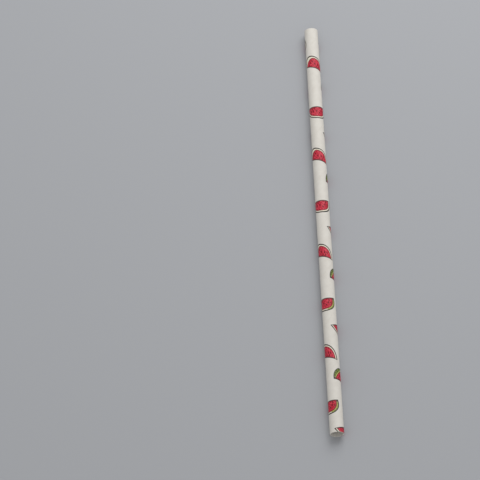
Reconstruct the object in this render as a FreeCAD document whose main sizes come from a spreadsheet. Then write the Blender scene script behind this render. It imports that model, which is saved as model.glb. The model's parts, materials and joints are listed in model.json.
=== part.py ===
"""Paper drinking straw, 6 mm, spirally wound from three plies of paper and cut square at both ends.

Sizes are in millimetres. The straw lies on its side as it would on a table: its axis is along Y, it rests
on Z = 0 and the origin is under the middle of its length. Along the line it rests on, the round outside has
a slight flat.

The plies are glued into one tube, so the straw is one solid. The outside is smooth. In the bore the edges
of the inner strip don't quite meet, and the gap between them is a helical groove, one ply deep.
"""
import FreeCAD, Part

import os

import Sketcher

doc = FreeCAD.newDocument("paper_drinking_straw")

# Driving sizes
SIZES = [
    ("straw_length", 197.0, "cut length of the straw"),
    ("outer_diameter", 6.0, "over the printed outer ply"),
    ("outer_ply", 0.08, "thickness of the printed outer ply"),
    ("core_ply", 0.16, "thickness of the middle ply"),
    ("inner_ply", 0.16, "thickness of the ply that lines the bore"),
    ("cut_softening", 0.04, "chamfer that the knife leaves on the edges of both ends"),
    ("flat_width", 1.2, "width of the flat that the straw rests on"),
    ("winding_lead", 22.85, "length of straw for one turn of a paper strip"),
    ("seam_gap", 0.3, "gap between the edges of the inner ply, along the straw"),
    ("seam_phase", 7.8, "distance from the middle of the straw to the seam, on the top line"),
    ("tool_overrun", 0.2, "how far the sections of the cuts stand clear of the paper"),
]
sheet = doc.addObject("Spreadsheet::Sheet", "sizes")
for row, (alias, value, meaning) in enumerate(SIZES, start=1):
    sheet.set(f"A{row}", alias)
    sheet.set(f"B{row}", str(value))
    sheet.set(f"C{row}", meaning)
    sheet.setAlias(f"B{row}", alias)
doc.recompute()

OUTER_RADIUS = "sizes.outer_diameter / 2"
WALL = "(sizes.outer_ply + sizes.core_ply + sizes.inner_ply)"
BORE_RADIUS = f"({OUTER_RADIUS} - {WALL})"
FLAT_BELOW_AXIS = f"sqrt(({OUTER_RADIUS})^2 - (sizes.flat_width / 2)^2)"

# Whole turns of the seam, from a lead or more before one end to a lead or more past the other
TURNS_EACH_SIDE = "(ceil(sizes.straw_length / 2 / sizes.winding_lead) + 1)"
SEAM_START = f"({TURNS_EACH_SIDE} * sizes.winding_lead + sizes.seam_phase)"


def attach(sketch, plane):
    sketch.AttachmentSupport = [(plane, "")]
    sketch.MapMode = "FlatFace"


def bind(sketch, index, name, expression):
    """Name a sketch's constraint and tie it to the sheet."""
    sketch.renameConstraint(index, name)
    sketch.setExpression(f"Constraints.{name}", expression)


def rectangle(sketch, corners, distances):
    """A rectangle from its rough corners, held by four distances, each from one named point to another."""
    point = {"origin": (-1, 1), "first": (0, 1), "second": (1, 1), "third": (2, 1)}
    rough = [FreeCAD.Vector(*corner, 0) for corner in corners]
    for first, second in zip(rough, rough[1:] + rough[:1]):
        sketch.addGeometry(Part.LineSegment(first, second), False)
    for side in range(4):
        sketch.addConstraint(Sketcher.Constraint("Coincident", side, 2, (side + 1) % 4, 1))
    for side, kind in enumerate(("Horizontal", "Vertical", "Horizontal", "Vertical")):
        sketch.addConstraint(Sketcher.Constraint(kind, side))
    for name, kind, start, end, expression in distances:
        index = sketch.addConstraint(Sketcher.Constraint(kind, *point[start], *point[end], 1))
        bind(sketch, index, name, expression)


def tube_section(body, plane):
    """The straw's cross section: two circles about the axis."""
    sketch = body.newObject("Sketcher::SketchObject", "tube_section")
    attach(sketch, plane)
    for name, radius, expression in (
        ("outer_radius", 3.0, OUTER_RADIUS),
        ("bore_radius", 2.6, BORE_RADIUS),
    ):
        circle = sketch.addGeometry(
            Part.Circle(FreeCAD.Vector(0, 0, 0), FreeCAD.Vector(0, 0, 1), radius), False
        )
        sketch.addConstraint(Sketcher.Constraint("Coincident", circle, 3, -1, 1))
        index = sketch.addConstraint(Sketcher.Constraint("Radius", circle, radius))
        bind(sketch, index, name, expression)
    return sketch


def rest_section(body, plane):
    """What is taken off for the flat: a rectangle below a chord of the outer circle."""
    sketch = body.newObject("Sketcher::SketchObject", "rest_section")
    attach(sketch, plane)
    rectangle(sketch, [(-3, -4), (3, -4), (3, -3), (-3, -3)], (
        ("side", "DistanceX", "first", "origin", OUTER_RADIUS),
        ("width", "DistanceX", "first", "second", "sizes.outer_diameter"),
        ("underside", "DistanceY", "first", "origin", f"{OUTER_RADIUS} + sizes.tool_overrun"),
        ("flat", "DistanceY", "third", "origin", FLAT_BELOW_AXIS),
    ))
    return sketch


def seam_section(body, plane):
    """The gap between the strip's edges: a rectangle in the YZ plane, from inside the bore to the ply's back."""
    sketch = body.newObject("Sketcher::SketchObject", "seam_section")
    attach(sketch, plane)
    rectangle(sketch, [(-2, 1), (-1, 1), (-1, 2), (-2, 2)], (
        ("gap", "DistanceX", "first", "second", "sizes.seam_gap"),
        ("start", "DistanceX", "first", "origin", SEAM_START),
        ("clear_radius", "DistanceY", "origin", "first", f"{BORE_RADIUS} - sizes.tool_overrun"),
        ("back_radius", "DistanceY", "origin", "third", f"{BORE_RADIUS} + sizes.inner_ply"),
    ))
    return sketch


# The straw: one wound tube, with the flat that it rests on and the seam in its bore
body = doc.addObject("PartDesign::Body", "straw_tube")
body.Label = "straw_tube"
planes = {feature.Role: feature for feature in body.Origin.OriginFeatures}

wall = body.newObject("PartDesign::Pad", "wound_wall")
wall.Profile = tube_section(body, planes["XZ_Plane"])
wall.Midplane = True
wall.setExpression("Length", "sizes.straw_length")
doc.recompute()

cut_edges = [
    f"Edge{number}"
    for number, edge in enumerate(wall.Shape.Edges, start=1)
    if isinstance(edge.Curve, Part.Circle)
]
softened = body.newObject("PartDesign::Chamfer", "knife_cut_edges")
softened.Base = (wall, cut_edges)
softened.setExpression("Size", "sizes.cut_softening")
doc.recompute()

rest = body.newObject("PartDesign::Pocket", "rest_flat")
rest.Profile = rest_section(body, planes["XZ_Plane"])
rest.Type = "ThroughAll"
rest.Midplane = True
doc.recompute()

section = seam_section(body, planes["YZ_Plane"])
doc.recompute()
seam = body.newObject("PartDesign::SubtractiveHelix", "inner_seam")
seam.Profile = section
seam.ReferenceAxis = (planes["Y_Axis"], [""])
seam.Mode = 0
seam.Reversed = False
seam.LeftHanded = False
seam.Refine = False  # each turn of the bore between two turns of the seam stays a face of its own
seam.setExpression("Pitch", "sizes.winding_lead")
seam.setExpression("Height", f"2 * {TURNS_EACH_SIDE} * sizes.winding_lead")
body.Tip = seam
body.setExpression("Placement.Base.z", FLAT_BELOW_AXIS)
doc.recompute()

# Nothing is written unless every step of the model is sound
for thing in doc.Objects:
    if "Invalid" in thing.State or "Error" in thing.State:
        raise SystemExit(f"{thing.Label} failed: {thing.State}")
for before, after in ((wall, softened), (softened, rest), (rest, seam)):
    if not after.Shape.Volume < before.Shape.Volume:
        raise SystemExit(f"{after.Label} cuts nothing")
if body.Shape.isNull() or not body.Shape.isValid() or len(body.Shape.Solids) != 1:
    raise SystemExit(f"{body.Label} isn't one sound solid")

os.makedirs("parts", exist_ok=True)
body.Shape.exportStep(f"parts/{body.Label}.step")
print(f"{body.Label}: {body.Shape.Volume:.1f} mm3, {len(body.Shape.Faces)} faces")
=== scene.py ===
import json
from math import atan2, cos, hypot, pi, radians, sin

import bmesh
import bpy
from mathutils import Matrix, Quaternion, Vector


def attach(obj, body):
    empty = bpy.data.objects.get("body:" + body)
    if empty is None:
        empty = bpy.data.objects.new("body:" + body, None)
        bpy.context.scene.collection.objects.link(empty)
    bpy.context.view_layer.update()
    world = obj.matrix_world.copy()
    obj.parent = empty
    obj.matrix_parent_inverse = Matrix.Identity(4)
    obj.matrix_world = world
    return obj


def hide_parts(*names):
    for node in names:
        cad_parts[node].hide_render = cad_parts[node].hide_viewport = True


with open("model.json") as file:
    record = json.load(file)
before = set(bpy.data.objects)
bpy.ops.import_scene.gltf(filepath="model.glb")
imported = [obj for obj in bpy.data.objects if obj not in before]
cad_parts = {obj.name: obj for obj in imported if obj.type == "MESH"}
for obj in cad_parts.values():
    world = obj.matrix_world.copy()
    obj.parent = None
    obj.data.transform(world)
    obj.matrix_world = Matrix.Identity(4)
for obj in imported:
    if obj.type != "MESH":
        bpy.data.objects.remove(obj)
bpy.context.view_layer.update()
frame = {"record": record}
MM = 0.001

# The straw's paper tube: three strips of paper, glued one over another and wound as a right-handed helix,
# then cut square at both ends. The edges of the outer strip don't quite meet, and leave a fine helical
# seam one ply deep; those of the strip that lines the bore leave another. The knife softens both rims.
mounts = {mount["name"]: mount for mount in frame["record"]["mounts"]}
MIDDLE = Vector(mounts["outside"]["pos_m"])
OUTER_RADIUS = mounts["outside"]["dims"]["r_mm"] * MM
BORE_RADIUS = mounts["bore"]["dims"]["r_mm"] * MM
LENGTH = mounts["bore"]["dims"]["length_mm"] * MM
OUTER_PLY = 0.08 * MM
INNER_PLY = 0.16 * MM
WINDING_LEAD = 22.85 * MM
SEAM_GAP = 0.3 * MM
OUTER_SEAM_AT = -1.1 * MM  # from the middle of the straw to where the seam crosses its top line
INNER_SEAM_AT = -7.65 * MM
CUT_SOFTENING = 0.04 * MM
PLY_EDGE_SLANT = 0.03 * MM
PLY_EDGE_ROUNDING = 0.02 * MM
SHARPEST_SMOOTH_ANGLE = radians(35)
SIDES = 72
STEPS = 320
ALONG = Vector((0, 1, 0))
RUN = LENGTH - 2 * CUT_SOFTENING


def only(kind, geometry):
    return [part for part in geometry if isinstance(part, kind)]


def seamed_ring(paper, radius, floor_radius, seam_at):
    """A circle round the axis at the first cut, with a notch where the edges of the strip meet."""
    seam = -2 * pi * seam_at / WINDING_LEAD
    half_gap = pi * SEAM_GAP / WINDING_LEAD
    rounding = PLY_EDGE_ROUNDING / radius
    slant = PLY_EDGE_SLANT / radius
    shoulder = radius + PLY_EDGE_ROUNDING * (1 if floor_radius > radius else -1)
    round_part = 2 * (pi - half_gap - rounding)
    places = [(radius, half_gap + rounding + round_part * side / SIDES) for side in range(SIDES + 1)]
    places += [
        (shoulder, -half_gap),
        (floor_radius, slant - half_gap),
        (floor_radius, half_gap - slant),
        (shoulder, half_gap),
    ]
    first_cut = MIDDLE - ALONG * RUN / 2
    ring = [
        paper.verts.new(first_cut + Vector((r * sin(seam + angle), 0, r * cos(seam + angle))))
        for r, angle in places
    ]
    return [paper.edges.new(ends) for ends in zip(ring, ring[1:] + ring[:1])]


def wall(paper, ring):
    """Draws the ring along the straw and cuts the wall across into steps. Returns the edges at both ends."""
    drawn = bmesh.ops.extrude_edge_only(paper, edges=ring)["geom"]
    bmesh.ops.translate(paper, verts=only(bmesh.types.BMVert, drawn), vec=ALONG * RUN)
    far_ring = [edge for edge in only(bmesh.types.BMEdge, drawn) if edge.calc_length() < RUN / 2]
    lengthwise = [
        edge
        for vert in only(bmesh.types.BMVert, drawn)
        for edge in vert.link_edges
        if edge.calc_length() > RUN / 2
    ]
    bmesh.ops.subdivide_edges(paper, edges=lengthwise, cuts=STEPS - 1, use_grid_fill=True)
    return ring, far_ring


def soften_rim(paper, edges, way, share):
    """The rim that the knife leaves: the wall's last edges are drawn to the cut and into the wall."""
    drawn = bmesh.ops.extrude_edge_only(paper, edges=edges)["geom"]
    verts = only(bmesh.types.BMVert, drawn)
    bmesh.ops.translate(paper, verts=verts, vec=ALONG * way * CUT_SOFTENING)
    bmesh.ops.scale(paper, verts=verts, vec=(share, 1, share), space=Matrix.Translation(-MIDDLE))


paper = bmesh.new()
outside = wall(paper, seamed_ring(paper, OUTER_RADIUS, OUTER_RADIUS - OUTER_PLY, OUTER_SEAM_AT))
bore = wall(paper, seamed_ring(paper, BORE_RADIUS, BORE_RADIUS + INNER_PLY, INNER_SEAM_AT))
for way, outer_edges, bore_edges in zip((-1, 1), outside, bore):
    soften_rim(paper, outer_edges, way, 1 - CUT_SOFTENING / OUTER_RADIUS)
    soften_rim(paper, bore_edges, way, 1 + CUT_SOFTENING / BORE_RADIUS)
    rims = [edge for edge in paper.edges if edge.is_boundary and edge.verts[0].co.y * way > 0]
    bmesh.ops.triangle_fill(paper, edges=rims, use_beauty=True)
bmesh.ops.recalc_face_normals(paper, faces=paper.faces)

PRINTED, PLAIN, CUT = range(3)
for face in paper.faces:
    middle = face.calc_center_median() - MIDDLE
    if abs(middle.y) > LENGTH / 2 - CUT_SOFTENING:
        face.material_index = CUT
    elif hypot(middle.x, middle.z) > OUTER_RADIUS - PLY_EDGE_ROUNDING:
        face.material_index = PRINTED
    else:
        face.material_index = PLAIN
    face.smooth = True

# So far the seams run straight. The whole tube is twisted, as the strips are wound, and is pressed to a
# slight flat where it rests on the floor.
for vert in paper.verts:
    wound = Matrix.Rotation(2 * pi * vert.co.y / WINDING_LEAD, 3, "Y")
    vert.co = MIDDLE + wound @ (vert.co - MIDDLE)
    vert.co.z = max(vert.co.z, 0)

# The straw's surface laid flat, for its finish to be drawn on: the outside as four lengths side by side,
# the bore as four more at half size beneath them, and the two cut ends beside the bore.
LENGTHS_ACROSS = 4
FLAT_MARGIN = 0.6 * MM
BORE_SCALE = 0.5
CUT_SCALE = 2.0
MID_WALL = (OUTER_RADIUS + BORE_RADIUS) / 2
flat_length = LENGTH / LENGTHS_ACROSS
outer_pitch = 2 * pi * OUTER_RADIUS + FLAT_MARGIN
bore_pitch = 2 * pi * BORE_RADIUS * BORE_SCALE + FLAT_MARGIN
cut_pitch = 2 * OUTER_RADIUS * CUT_SCALE + FLAT_MARGIN
outer_rise = flat_length * BORE_SCALE + FLAT_MARGIN
flat_side = LENGTHS_ACROSS * outer_pitch


def lay_flat(face, flat):
    """Places a face by its turn about the axis and its distance along it, or as it lies on a cut end."""
    middle = face.calc_center_median() - MIDDLE
    turn = atan2(middle.x, middle.z) + pi
    row = min(int((middle.y + LENGTH / 2) / flat_length), LENGTHS_ACROSS - 1)
    for loop in face.loops:
        x, y, z = loop.vert.co - MIDDLE
        angle = turn + (atan2(x, z) - turn) % (2 * pi)
        angle -= 2 * pi * (angle > turn + pi)
        along = y + LENGTH / 2 - row * flat_length
        if face.material_index == CUT:
            u = LENGTHS_ACROSS * bore_pitch + cut_pitch * (0.5 if y < 0 else 1.5) + x * CUT_SCALE
            v = cut_pitch / 2 + z * CUT_SCALE
        elif hypot(middle.x, middle.z) > MID_WALL:
            u = row * outer_pitch + angle * OUTER_RADIUS
            v = outer_rise + along
        else:
            u = row * bore_pitch + angle * BORE_RADIUS * BORE_SCALE
            v = along * BORE_SCALE
        loop[flat].uv = [(part + FLAT_MARGIN / 2) / flat_side for part in (u, v)]


flat = paper.loops.layers.uv.new("OFBake")
for face in paper.faces:
    lay_flat(face, flat)
straw_mesh = bpy.data.meshes.new("paper_straw")
paper.to_mesh(straw_mesh)
paper.free()
straw_mesh.set_sharp_from_angle(angle=SHARPEST_SMOOTH_ANGLE)
straw = bpy.data.objects.new("paper_straw", straw_mesh)
bpy.context.scene.collection.objects.link(straw)

# The straw's paper: matt and uncoated, a warm white with faint clouds, short fibres and a slightly uneven
# surface. The strip that lines the bore is left bare, and so is the strip that shows in the outer seam.
SCREEN_GAMMA = 2.2


def ink(red, green, blue):
    """A colour as it looks in even light, its parts from 0 to 255."""
    return [(part / 255) ** SCREEN_GAMMA for part in (red, green, blue)] + [1]


PAPER_WHITE = ink(224, 220, 212)
PAPER_SHADE = ink(214, 209, 200)
CLOUDINESS, CLOUD_GRAIN = 1.6, 2.2 * MM
FIBRE_GRAIN = 0.22 * MM
UNEVENNESS, UNEVEN_GRAIN = 1.5, 1.5 * MM
BUMP_HEIGHT, BUMP_STRENGTH = 0.03 * MM, 0.8
PAPER_ROUGHNESS = 0.62
PAPER_SPECULAR = 0.35
INK_EDGE = 0.08


def feed(tree, socket, value):
    """Gives a socket a field, another node's output or a plain value."""
    if isinstance(value, Field):
        value = value.output
    if isinstance(value, bpy.types.NodeSocket):
        tree.links.new(value, socket)
    else:
        socket.default_value = value


class Field:
    """A number that varies over the paper. What is done with it becomes Math nodes of its material."""

    def __init__(self, tree, output):
        self.tree, self.output = tree, output

    def calc(self, operation, *others, clamp=False):
        node = self.tree.nodes.new("ShaderNodeMath")
        node.operation, node.use_clamp = operation, clamp
        for socket, value in zip(node.inputs, (self, *others)):
            feed(self.tree, socket, value)
        return Field(self.tree, node.outputs[0])

    def __add__(self, other):
        return self.calc("ADD", other)

    def __sub__(self, other):
        return self.calc("SUBTRACT", other)

    def __mul__(self, other):
        return self.calc("MULTIPLY", other)

    def lower(self, other):
        return self.calc("MINIMUM", other)

    def filled(self, softness=INK_EDGE):
        """1 where the field is above zero and 0 where it is below, with a soft edge."""
        return (self * (1 / softness)).calc("ADD", 0.5, clamp=True)


def noise(tree, place, grain, detail=2.0):
    """Cloudy noise about zero, from -0.5 to 0.5, whose grain is a length in the units of the place."""
    node = tree.nodes.new("ShaderNodeTexNoise")
    feed(tree, node.inputs["Vector"], place)
    node.inputs["Scale"].default_value = 1 / grain
    node.inputs["Detail"].default_value = detail
    return Field(tree, node.outputs["Fac"]) - 0.5


def lay_over(tree, share, under, over):
    """One colour over another, where its share is above zero."""
    node = tree.nodes.new("ShaderNodeMix")
    node.data_type = "RGBA"
    factor, under_colour, over_colour = node.inputs[0], node.inputs[6], node.inputs[7]
    feed(tree, factor, share)
    feed(tree, under_colour, under)
    feed(tree, over_colour, over)
    return node.outputs[2]


def paper_material(name):
    """Bare paper: its shader, where on the straw it is, and its colour before any print."""
    material = bpy.data.materials.new(name)
    material.use_nodes = True
    tree = material.node_tree
    shader = tree.nodes["Principled BSDF"]
    place = tree.nodes.new("ShaderNodeTexCoord").outputs["Object"]
    clouds = (noise(tree, place, CLOUD_GRAIN, detail=3.0) * CLOUDINESS).calc("ADD", 0.5, clamp=True)
    colour = lay_over(tree, clouds, PAPER_SHADE, PAPER_WHITE)
    fibres = noise(tree, place, FIBRE_GRAIN, detail=4.0) + noise(tree, place, UNEVEN_GRAIN) * UNEVENNESS
    bump = tree.nodes.new("ShaderNodeBump")
    bump.inputs["Distance"].default_value = BUMP_HEIGHT
    bump.inputs["Strength"].default_value = BUMP_STRENGTH
    feed(tree, bump.inputs["Height"], fibres)
    feed(tree, shader.inputs["Normal"], bump.outputs[0])
    shader.inputs["Roughness"].default_value = PAPER_ROUGHNESS
    shader.inputs["Specular IOR Level"].default_value = PAPER_SPECULAR
    return material, tree, shader, place, colour


plain_ply, tree, shader, place, colour = paper_material("plain_inner_ply")
feed(tree, shader.inputs["Base Color"], colour)

# The straw's print: slices of melon in two drawings, again and again along the outer strip. A round takes
# two turns of the winding and a little more: two slices with the rind up, then two upside down. A slice is
# a half disc with a dark outline and red flesh with seeds, and between them cream rind or green skin.
PRINT_ROUGHNESS = 0.5
PRINT_ROUND = 47.2
PRINT_CREEP = 360 * (PRINT_ROUND * MM / WINDING_LEAD - 2)
NEVER = 9  # more rounds than a straw has

# Lengths are in millimetres: s from the straw's far end, u and v across and up a slice. A row gives where a
# slice's stretch of the straw starts, its flat edge, its side of the straw, its turn and lean, the bulge of
# its flesh's left side, and the first round in which it has green skin.
SLICES = (
    (13.0, 21.0, 17.5, 16.5, 0.45, 1.4, NEVER),
    (23.9, 32.3, 174, 11, 0.3, 1.4, 0),
    (36.8, 41.25, -5, 180, 0.3, 2.0, 2),
    (49.2, 52.9, 155, 168, 0.45, 1.4, NEVER),
)
SLICE_HALF_WIDTH, SLICE_HEIGHT = 5.4, 5.8
FLESH_HALF_WIDTH, FLESH_HEIGHT = 4.5, 4.85
RIND_LEFT_BULGE, RIGHT_BULGE = 2.0, 2.7
WOBBLE, WOBBLE_GRAIN = 0.14, 1.6
INK_SPREAD, INK_SPREAD_GRAIN = 0.05, 0.12 * MM
OUTLINE = 0.5
OUTLINE_INK = ink(22, 19, 15)
CREAM_INK = ink(232, 224, 204)

SKIN_OUTLINE = 0.3
SKIN_FROM, SKIN_FADE = 0.25, 0.3
ABOVE_ZERO = 0.01
YELLOW_WIDTH = 0.5
STRIPES_ROUND_CIRCLE = 24
STRIPE_WANDER, STRIPE_GRAIN = 5, 0.5
STRIPE_LEVEL, STRIPE_FADE = 1.6, 0.5
CORNER_HEIGHT, CORNER_FADE_UP, CORNER_FADE_ACROSS = 0.75, 0.9, 1.0
SKIN_YELLOW = ink(200, 196, 116)
SKIN_GREEN = ink(116, 130, 60)
SKIN_DARK = ink(50, 56, 38)
CORNER_INK = ink(56, 44, 30)

FLESH_GRAIN = 0.7
FLESH_CONTRAST, FLESH_LIGHTNESS = 5, 0.2
BORDER_WIDTH, BORDER_WANDER, BORDER_FADE = 0.36, 0.5, 0.3
SEED_SPACING, SEED_SCATTER = 1.15, 0.6
SEED_RADIUS, SEED_SQUASH = 0.26, 0.6
SEED_DEPTH = 0.7
FLESH_DARK = ink(112, 14, 30)
FLESH_RED = ink(180, 16, 48)
FLESH_LIGHT = ink(226, 84, 98)
SEED_INK = ink(92, 8, 24)


def vector(tree, *parts):
    node = tree.nodes.new("ShaderNodeCombineXYZ")
    for socket, part in zip(node.inputs, parts):
        feed(tree, socket, part)
    return node.outputs[0]


def parts_of(tree, place):
    node = tree.nodes.new("ShaderNodeSeparateXYZ")
    feed(tree, node.inputs[0], place)
    return [Field(tree, output) for output in node.outputs]


def place_in_slice(tree, place):
    """Where a place lies in its slice, as u and v, the bulge of the flesh, and whether the skin is green."""
    x, y, z = parts_of(tree, place)
    angle = x.calc("ARCTAN2", z - MIDDLE.z)
    s = y * (-1 / MM) + LENGTH / 2 / MM
    rounds = ((s - SLICES[0][0]) * (1 / PRINT_ROUND)).calc("FLOOR")
    s = s - rounds * PRINT_ROUND
    this_slice = SLICES[0][1:]
    for before, after in zip(SLICES, SLICES[1:]):
        reached = s.calc("GREATER_THAN", after[0])
        this_slice = [
            reached * (new - old) + so_far for old, new, so_far in zip(before[1:], after[1:], this_slice)
        ]
    flat_edge, side, turn, lean, bulge, first_green = this_slice
    around = angle - (side - rounds * PRINT_CREEP) * radians(1)
    across = around.calc("WRAP", pi, -pi) * (OUTER_RADIUS / MM)
    rotate = tree.nodes.new("ShaderNodeVectorRotate")
    rotate.rotation_type = "Z_AXIS"
    feed(tree, rotate.inputs["Vector"], vector(tree, across, flat_edge - s, 0))
    feed(tree, rotate.inputs["Angle"], turn * radians(1))
    u, v, _ = parts_of(tree, rotate.outputs[0])
    return u + v * lean, v, bulge, (rounds - first_green).calc("GREATER_THAN", -0.5)


def in_half_disc(u, v, half_width, height, left_bulge):
    """How far inside a half disc a place is. A bulge of 2 is round, and less of it is straighter."""
    right = u.calc("GREATER_THAN", 0)
    bulge = right * RIGHT_BULGE + (right * -1 + 1) * left_bulge
    across = (u * (1 / half_width)).calc("ABSOLUTE").calc("POWER", bulge)
    up = (v * (1 / height)).calc("ABSOLUTE").calc("POWER", bulge)
    return (across + up).calc("POWER", bulge.calc("POWER", -1)) * -height + height


def printed_skin(tree, u, v, in_slice, flesh):
    """Skin: yellow next to the flesh, and green with dark stripes outside."""
    stripe_noise = noise(tree, in_slice, STRIPE_GRAIN) * STRIPE_WANDER
    stripes = (u.calc("ARCTAN2", v) * STRIPES_ROUND_CIRCLE + stripe_noise).calc("SINE")
    from_flesh = (flesh * (-1 / YELLOW_WIDTH)).calc("MINIMUM", 1)
    colour = lay_over(tree, from_flesh, SKIN_YELLOW, SKIN_GREEN)
    return lay_over(tree, (stripes + from_flesh - STRIPE_LEVEL).filled(STRIPE_FADE), colour, SKIN_DARK)


def printed_flesh(tree, u, v, in_slice, flesh, bulge):
    """Flesh: crimson with lighter clouds, a dark border and scattered seeds, each of them whole."""
    flesh_noise = noise(tree, in_slice, FLESH_GRAIN, detail=3.0)
    clouds = (flesh_noise * FLESH_CONTRAST).calc("ADD", FLESH_LIGHTNESS, clamp=True)
    colour = lay_over(tree, clouds, FLESH_RED, FLESH_LIGHT)
    seeds = tree.nodes.new("ShaderNodeTexVoronoi")
    seeds.voronoi_dimensions = "2D"
    feed(tree, seeds.inputs["Vector"], vector(tree, u, v * SEED_SQUASH, 0))
    seeds.inputs["Scale"].default_value = 1 / SEED_SPACING
    seeds.inputs["Randomness"].default_value = SEED_SCATTER
    seed_u, seed_v, _ = parts_of(tree, seeds.outputs["Position"])
    seed_v = seed_v * (1 / SEED_SQUASH)
    seed_depth = in_half_disc(seed_u, seed_v, FLESH_HALF_WIDTH, FLESH_HEIGHT, bulge).lower(seed_v)
    in_seed = (Field(tree, seeds.outputs["Distance"]) * -SEED_SPACING + SEED_RADIUS).filled()
    in_seed = in_seed * (seed_depth - SEED_DEPTH).filled()
    colour = lay_over(tree, in_seed, colour, SEED_INK)
    well_in = flesh - BORDER_WIDTH + noise(tree, in_slice, FLESH_GRAIN) * BORDER_WANDER
    return lay_over(tree, well_in.filled(BORDER_FADE), FLESH_DARK, colour)


def printed_slice(tree, place, paper_colour):
    """The paper's colour with the slices on it, and where there is ink."""
    u, v, bulge, green = place_in_slice(tree, place)
    in_slice = vector(tree, u, v, 0)
    wobble = noise(tree, in_slice, WOBBLE_GRAIN) * WOBBLE
    wobble = wobble + noise(tree, place, INK_SPREAD_GRAIN) * INK_SPREAD
    rind = in_half_disc(u, v, SLICE_HALF_WIDTH, SLICE_HEIGHT, RIND_LEFT_BULGE) + wobble
    flesh = in_half_disc(u, v, FLESH_HALF_WIDTH, FLESH_HEIGHT, bulge).lower(v) + wobble

    # A crescent of skin at the left, by the sine of twice the angle from the flat edge
    crescent = (u * v).calc("DIVIDE", u * u + v * v + ABOVE_ZERO) * -2
    in_skin = (crescent - SKIN_FROM).filled(SKIN_FADE) * green
    printed = rind.lower(v + OUTLINE / 2).filled()
    colour = lay_over(tree, printed, paper_colour, OUTLINE_INK)
    in_rind = (rind - OUTLINE + in_skin * (OUTLINE - SKIN_OUTLINE)).lower(v).filled()
    colour = lay_over(tree, in_rind, colour, CREAM_INK)
    colour = lay_over(tree, in_skin * in_rind, colour, printed_skin(tree, u, v, in_slice, flesh))
    in_corner = (v * -1 + CORNER_HEIGHT).filled(CORNER_FADE_UP) * (u * -1).filled(CORNER_FADE_ACROSS) * green
    colour = lay_over(tree, in_corner * in_rind, colour, CORNER_INK)
    flesh_colour = printed_flesh(tree, u, v, in_slice, flesh, bulge)
    return lay_over(tree, flesh.filled(), colour, flesh_colour), printed


printed_ply, tree, shader, place, colour = paper_material("printed_outer_ply")
colour, inked = printed_slice(tree, place, colour)
feed(tree, shader.inputs["Base Color"], colour)
feed(tree, shader.inputs["Roughness"], inked * (PRINT_ROUGHNESS - PAPER_ROUGHNESS) + PAPER_ROUGHNESS)

# The knife's cut shows the three plies as rings with fine dark glue lines between them
PLY_LINES = (OUTER_RADIUS - OUTER_PLY, BORE_RADIUS + INNER_PLY)
GLUE_LINE = 0.012 * MM
GLUE_SHADE = ink(176, 166, 148)
cut_paper, tree, shader, place, colour = paper_material("knife_cut_edge")
x, y, z = parts_of(tree, place)
height = z - MIDDLE.z
from_axis = (x * x + height * height).calc("SQRT")
for line in PLY_LINES:
    near_line = (from_axis - line).calc("ABSOLUTE") * -1 + GLUE_LINE
    colour = lay_over(tree, near_line.filled(GLUE_LINE), colour, GLUE_SHADE)
feed(tree, shader.inputs["Base Color"], colour)

for material in (printed_ply, plain_ply, cut_paper):
    straw_mesh.materials.append(material)
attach(straw, "root")
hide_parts("straw_tube")

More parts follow.
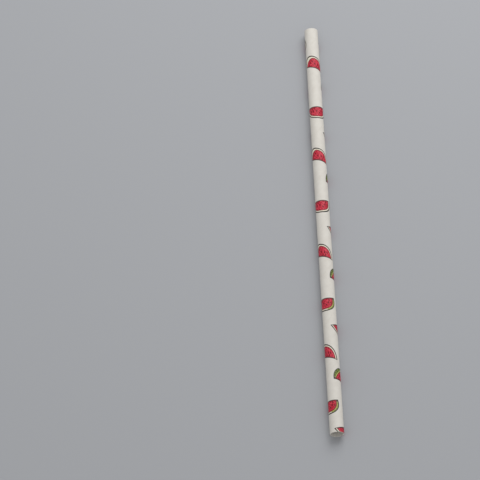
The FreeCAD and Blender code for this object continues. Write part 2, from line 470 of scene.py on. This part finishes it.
# The floor that the straw lies on: plain, pale and matt
FLOOR_SIZE = 6.0
FLOOR_GREY = ink(170, 172, 176)
FLOOR_ROUGHNESS = 0.9
ground = bmesh.new()
bmesh.ops.create_grid(ground, x_segments=1, y_segments=1, size=FLOOR_SIZE / 2)
floor_mesh = bpy.data.meshes.new("floor")
ground.to_mesh(floor_mesh)
ground.free()
floor = bpy.data.objects.new("floor", floor_mesh)
bpy.context.scene.collection.objects.link(floor)
matt = bpy.data.materials.new("pale_floor")
matt.use_nodes = True
matt.node_tree.nodes["Principled BSDF"].inputs["Base Color"].default_value = FLOOR_GREY
matt.node_tree.nodes["Principled BSDF"].inputs["Roughness"].default_value = FLOOR_ROUGHNESS
floor_mesh.materials.append(matt)

# Soft light: one large lamp overhead, beyond the straw's far end, and an even glow from all round
LAMP_PLACE = Vector((0.2, 0.45, 0.55))
LAMP_SIZE = 0.6
LAMP_POWER = 3.0
GLOW = 0.57
lamp_data = bpy.data.lights.new("overhead_lamp", "AREA")
lamp_data.size, lamp_data.energy = LAMP_SIZE, LAMP_POWER
lamp = bpy.data.objects.new("overhead_lamp", lamp_data)
lamp.location = LAMP_PLACE
lamp.rotation_euler = (-LAMP_PLACE).to_track_quat("-Z", "Y").to_euler()
bpy.context.scene.collection.objects.link(lamp)
world = bpy.data.worlds.new("even_glow")
world.use_nodes = True
world.node_tree.nodes["Background"].inputs["Color"].default_value = (1, 1, 1, 1)
world.node_tree.nodes["Background"].inputs["Strength"].default_value = GLOW
bpy.context.scene.world = world

# The camera looks down on the straw from beyond its near end, 27 degrees from square to it. The middle of
# the picture lies to the left of the straw.
SIGHT_ELEVATION = radians(63)
SIGHT_DISTANCE = 1.0
PICTURE_MIDDLE = Vector((-36.82, -3.69, 0)) * MM
CAMERA_ROLL = radians(-7.875)
LENS, SENSOR_WIDTH = 171.96, 36
NEAREST_SEEN, FURTHEST_SEEN = 0.01, 20
camera_data = bpy.data.cameras.new("camera")
camera_data.lens, camera_data.sensor_width = LENS, SENSOR_WIDTH
camera_data.clip_start, camera_data.clip_end = NEAREST_SEEN, FURTHEST_SEEN
camera = bpy.data.objects.new("camera", camera_data)
camera.location = (
    0,
    -SIGHT_DISTANCE * cos(SIGHT_ELEVATION),
    MIDDLE.z + SIGHT_DISTANCE * sin(SIGHT_ELEVATION),
)
sight = PICTURE_MIDDLE - camera.location
roll = Quaternion((0, 0, 1), CAMERA_ROLL)
camera.rotation_euler = (sight.to_track_quat("-Z", "Y") @ roll).to_euler()
bpy.context.scene.collection.objects.link(camera)
bpy.context.scene.camera = camera
bpy.context.scene.view_settings.view_transform = "Standard"
